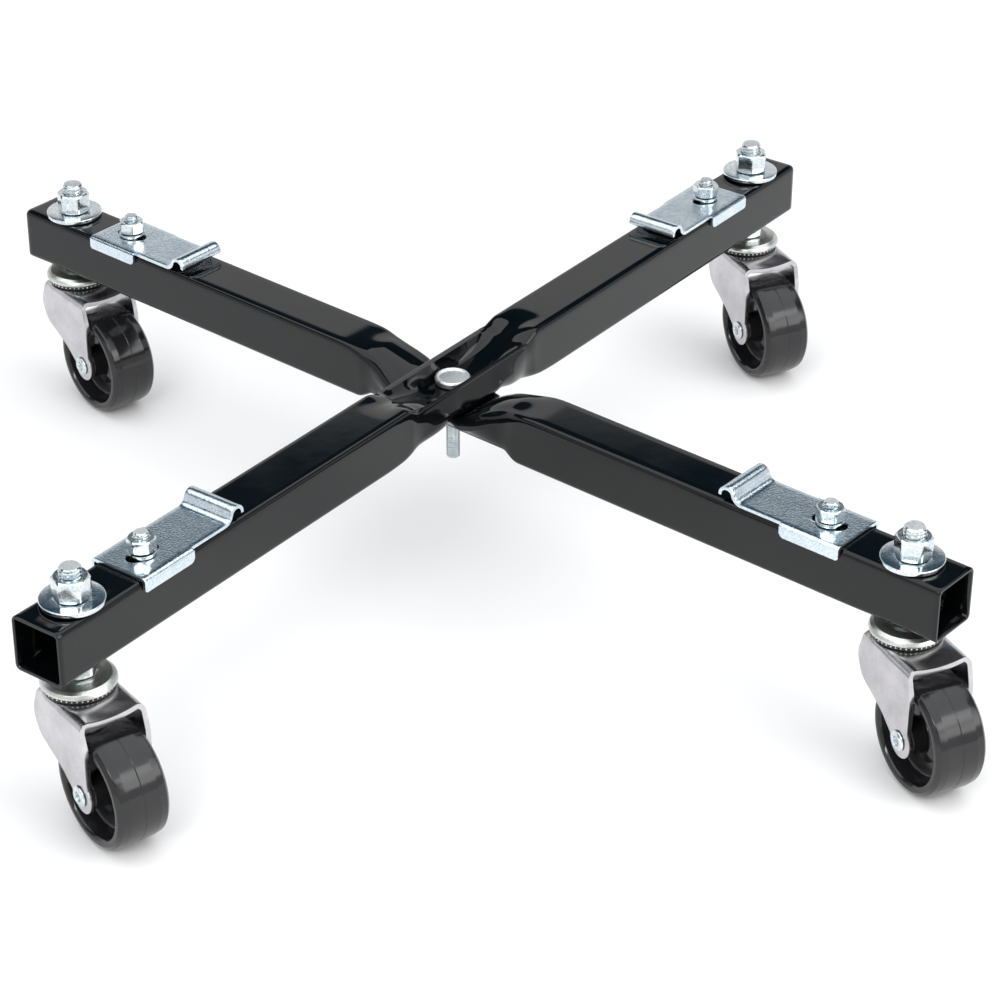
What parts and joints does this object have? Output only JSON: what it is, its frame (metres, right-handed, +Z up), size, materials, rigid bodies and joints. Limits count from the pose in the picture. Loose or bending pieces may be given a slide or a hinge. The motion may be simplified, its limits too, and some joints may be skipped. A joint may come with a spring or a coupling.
{
  "type": "wheel dolly",
  "caption": "Low X-frame dolly: two nested square tubes on swivel casters, with slotted hooked clips on the arms that hold the rim of the load.",
  "frame": {"origin": "on the floor, under the middle of the footprint", "axes": "+Z up, +Y to the back, +X to the right; the upper tube runs from front left to back right"},
  "size_m": [0.3859, 0.4304, 0.1166],
  "materials": {
    "black_paint": "gloss",
    "zinc_sheet": "bright zinc plate, satin",
    "zinc_fastener": "bright zinc plate, slightly blue",
    "bearing_steel": "greased steel",
    "black_plastic": "moulded, semi-gloss"
  },
  "bodies": {
    "upper_frame": {"upper_crossbar": "black_paint", "centre_bolt": "zinc_fastener", "centre_washer": "zinc_fastener", "centre_nut": "zinc_fastener", "caster_stem_front_left": "zinc_fastener", "upper_race_front_left": "zinc_sheet", "stem_washer_front_left": "zinc_fastener", "stem_nut_front_left": "zinc_fastener", "clip_bolt_front_left": "zinc_fastener", "lock_washer_front_left": "zinc_fastener", "clip_nut_front_left": "zinc_fastener", "caster_stem_back_right": "zinc_fastener", "upper_race_back_right": "zinc_sheet", "stem_washer_back_right": "zinc_fastener", "stem_nut_back_right": "zinc_fastener", "clip_bolt_back_right": "zinc_fastener", "lock_washer_back_right": "zinc_fastener", "clip_nut_back_right": "zinc_fastener"},
    "lower_frame": {"lower_crossbar": "black_paint", "caster_stem_back_left": "zinc_fastener", "upper_race_back_left": "zinc_sheet", "stem_washer_back_left": "zinc_fastener", "stem_nut_back_left": "zinc_fastener", "clip_bolt_back_left": "zinc_fastener", "lock_washer_back_left": "zinc_fastener", "clip_nut_back_left": "zinc_fastener", "caster_stem_front_right": "zinc_fastener", "upper_race_front_right": "zinc_sheet", "stem_washer_front_right": "zinc_fastener", "stem_nut_front_right": "zinc_fastener", "clip_bolt_front_right": "zinc_fastener", "lock_washer_front_right": "zinc_fastener", "clip_nut_front_right": "zinc_fastener"},
    "caster_front_left": {"fork_front_left": "zinc_sheet", "ball_ring_front_left": "bearing_steel", "axle_rivet_front_left": "zinc_fastener"},
    "wheel_front_left": {"wheel_front_left": "black_plastic"},
    "rim_clip_front_left": {"rim_clip_front_left": "zinc_sheet"},
    "caster_back_right": {"fork_back_right": "zinc_sheet", "ball_ring_back_right": "bearing_steel", "axle_rivet_back_right": "zinc_fastener"},
    "wheel_back_right": {"wheel_back_right": "black_plastic"},
    "rim_clip_back_right": {"rim_clip_back_right": "zinc_sheet"},
    "caster_back_left": {"fork_back_left": "zinc_sheet", "ball_ring_back_left": "bearing_steel", "axle_rivet_back_left": "zinc_fastener"},
    "wheel_back_left": {"wheel_back_left": "black_plastic"},
    "rim_clip_back_left": {"rim_clip_back_left": "zinc_sheet"},
    "caster_front_right": {"fork_front_right": "zinc_sheet", "ball_ring_front_right": "bearing_steel", "axle_rivet_front_right": "zinc_fastener"},
    "wheel_front_right": {"wheel_front_right": "black_plastic"},
    "rim_clip_front_right": {"rim_clip_front_right": "zinc_sheet"}
  },
  "joints": [
    {"name": "crossbar_swing", "type": "hinge", "parent": "upper_frame", "child": "lower_frame", "pos_m": [-0.0025, 0.0125, 0.08275], "axis": [0, 0, 1], "range_deg": [-4.4, 11.6]},
    {"name": "caster_swivel_front_left", "type": "hinge", "parent": "upper_frame", "child": "caster_front_left", "pos_m": [-0.17042, -0.16632, 0.0604], "axis": [0, 0, 1], "continuous": true},
    {"name": "wheel_spin_front_left", "type": "hinge", "parent": "caster_front_left", "child": "wheel_front_left", "pos_m": [-0.15917, -0.1858, 0.0254], "axis": [0.866, 0.5, 0], "continuous": true},
    {"name": "clip_slide_front_left", "type": "slide", "parent": "upper_frame", "child": "rim_clip_front_left", "axis": [-0.6845, -0.729, 0], "range_m": [-0.0048, 0.0048]},
    {"name": "caster_swivel_back_right", "type": "hinge", "parent": "upper_frame", "child": "caster_back_right", "pos_m": [0.16542, 0.19132, 0.0604], "axis": [0, 0, 1], "continuous": true},
    {"name": "wheel_spin_back_right", "type": "hinge", "parent": "caster_back_right", "child": "wheel_back_right", "pos_m": [0.17237, 0.16992, 0.0254], "axis": [0.9511, 0.309, 0], "continuous": true},
    {"name": "clip_slide_back_right", "type": "slide", "parent": "upper_frame", "child": "rim_clip_back_right", "axis": [0.6845, 0.729, 0], "range_m": [-0.0048, 0.0048]},
    {"name": "caster_swivel_back_left", "type": "hinge", "parent": "lower_frame", "child": "caster_back_left", "pos_m": [-0.17042, 0.19132, 0.0604], "axis": [0, 0, 1], "continuous": true},
    {"name": "wheel_spin_back_left", "type": "hinge", "parent": "caster_back_left", "child": "wheel_back_left", "pos_m": [-0.1585, 0.17223, 0.0254], "axis": [0.848, 0.5299, 0], "continuous": true},
    {"name": "clip_slide_back_left", "type": "slide", "parent": "lower_frame", "child": "rim_clip_back_left", "axis": [-0.6845, 0.729, 0], "range_m": [-0.0048, 0.0048]},
    {"name": "caster_swivel_front_right", "type": "hinge", "parent": "lower_frame", "child": "caster_front_right", "pos_m": [0.16542, -0.16632, 0.0604], "axis": [0, 0, 1], "continuous": true},
    {"name": "wheel_spin_front_right", "type": "hinge", "parent": "caster_front_right", "child": "wheel_front_right", "pos_m": [0.17275, -0.18759, 0.0254], "axis": [0.9455, 0.3256, 0], "continuous": true},
    {"name": "clip_slide_front_right", "type": "slide", "parent": "lower_frame", "child": "rim_clip_front_right", "axis": [0.6845, -0.729, 0], "range_m": [-0.0048, 0.0048]}
  ]
}
